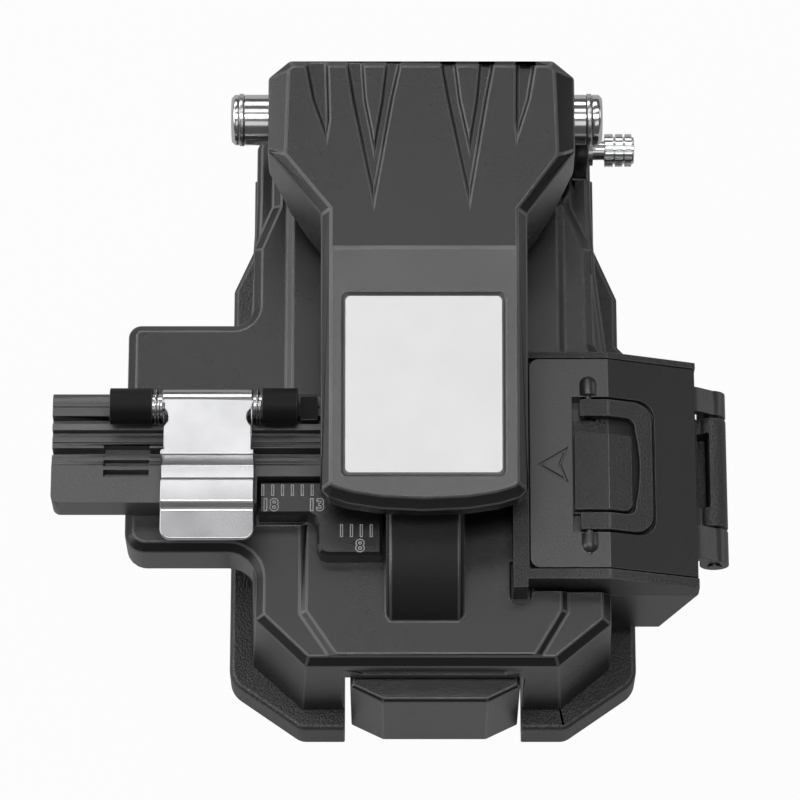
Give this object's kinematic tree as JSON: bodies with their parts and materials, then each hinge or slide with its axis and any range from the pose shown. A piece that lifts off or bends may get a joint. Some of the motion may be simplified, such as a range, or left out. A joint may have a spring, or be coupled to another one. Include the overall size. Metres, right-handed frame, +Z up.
{
  "type": "optical fibre cleaver",
  "caption": "Hand-held optical fibre cleaver with a hinged lever, sliding cutting wheel, fibre guide with clamp, lidded offcut bin and push tab.",
  "frame": {"origin": "centre of the flat underside of the rubber mat, on the table", "axes": "+Z up; +Y away from the user towards the lever axle; +X to the right, towards the offcut bin"},
  "size_m": [0.069, 0.0624, 0.0365],
  "materials": {
    "black_paint": "satin black paint over cast metal",
    "black_grain": "black paint with a fine blasted grain",
    "black_anodised": "black anodised, fine grain",
    "steel": "turned, fine rings",
    "dark_steel": "black oxide",
    "chrome": "polished plate",
    "blade_steel": "ground hard metal",
    "spring_steel": "drawn wire",
    "magnet": "nickel plated",
    "rubber": "soft matt",
    "sticker": "white printed foil, fine texture"
  },
  "bodies": {
    "base": {"anti_slip_mat": "rubber", "base_plate": "black_grain", "base_screws": "dark_steel", "main_body": "black_paint", "fibre_guide": "black_anodised", "guide_screws": "dark_steel", "scale_plate": "black_paint", "lower_jaw_left": "steel", "lower_jaw_right": "steel", "lower_pads": "rubber", "body_magnet": "magnet", "lever_axle": "chrome", "axle_clips": "steel", "lock_bush": "steel", "guide_rail": "steel", "rail_screws": "dark_steel", "spring_rod": "steel", "return_spring": "spring_steel", "clamp_pin": "steel", "clamp_springs": "spring_steel", "bin_box": "black_paint", "bin_frame": "black_grain", "bin_hinge_pin": "dark_steel", "bin_screws": "dark_steel"},
    "lever": {"lever_cover": "black_paint", "label_plate": "sticker", "upper_jaw_left": "steel", "upper_jaw_right": "steel", "upper_pads": "rubber", "magnet_post": "black_anodised", "lever_magnet": "magnet", "anvil_bush": "steel", "anvil_spring": "spring_steel"},
    "anvil": {"anvil": "steel"},
    "carriage": {"carriage": "black_anodised", "rail_block": "steel", "slider_screws": "dark_steel", "push_tab": "black_paint"},
    "blade": {"cutting_wheel": "blade_steel", "blade_hub": "steel", "blade_nut": "steel", "blade_shaft": "steel"},
    "clamp": {"clamp_plate": "chrome", "clamp_pad": "rubber"},
    "bin_lid": {"bin_lid": "black_paint", "ring_pins": "dark_steel"},
    "pull_ring": {"pull_ring": "black_grain"},
    "lock_pin": {"lock_pin": "chrome", "lock_knob": "chrome"}
  },
  "joints": [
    {"name": "lever_hinge", "type": "hinge", "parent": "base", "child": "lever", "pos_m": [0, 0.027, 0.03], "axis": [-1, 0, 0], "range_deg": [0, 55]},
    {"name": "anvil_slide", "type": "slide", "parent": "lever", "child": "anvil", "axis": [0, 0, 1], "range_m": [0, 0.0012], "stiffness_N_per_m": 300, "springref_m": -0.001, "deforming": ["anvil_spring"]},
    {"name": "blade_slide", "type": "slide", "parent": "base", "child": "carriage", "axis": [0, 1, 0], "range_m": [0, 0.016], "stiffness_N_per_m": 60, "springref_m": -0.01, "deforming": ["return_spring"]},
    {"name": "blade_index", "type": "hinge", "parent": "carriage", "child": "blade", "pos_m": [0.00066, -0.0167, 0.0166], "axis": [1, 0, 0], "continuous": true},
    {"name": "clamp_hinge", "type": "hinge", "parent": "base", "child": "clamp", "pos_m": [-0.0229, -0.00325, 0.0269], "axis": [-1, 0, 0], "range_deg": [0, 110], "stiffness_Nm_per_rad": 0.0005, "springref_deg": -20.05},
    {"name": "lid_hinge", "type": "hinge", "parent": "base", "child": "bin_lid", "pos_m": [0.02865, -0.0078, 0.0185], "axis": [0, 1, 0], "range_deg": [0, 110]},
    {"name": "ring_hinge", "type": "hinge", "parent": "bin_lid", "child": "pull_ring", "pos_m": [0.01575, -0.0086, 0.0241], "axis": [0, -1, 0], "range_deg": [0, 95]},
    {"name": "lock_slide", "type": "slide", "parent": "base", "child": "lock_pin", "axis": [-1, 0, 0], "range_m": [0, 0.001]}
  ]
}
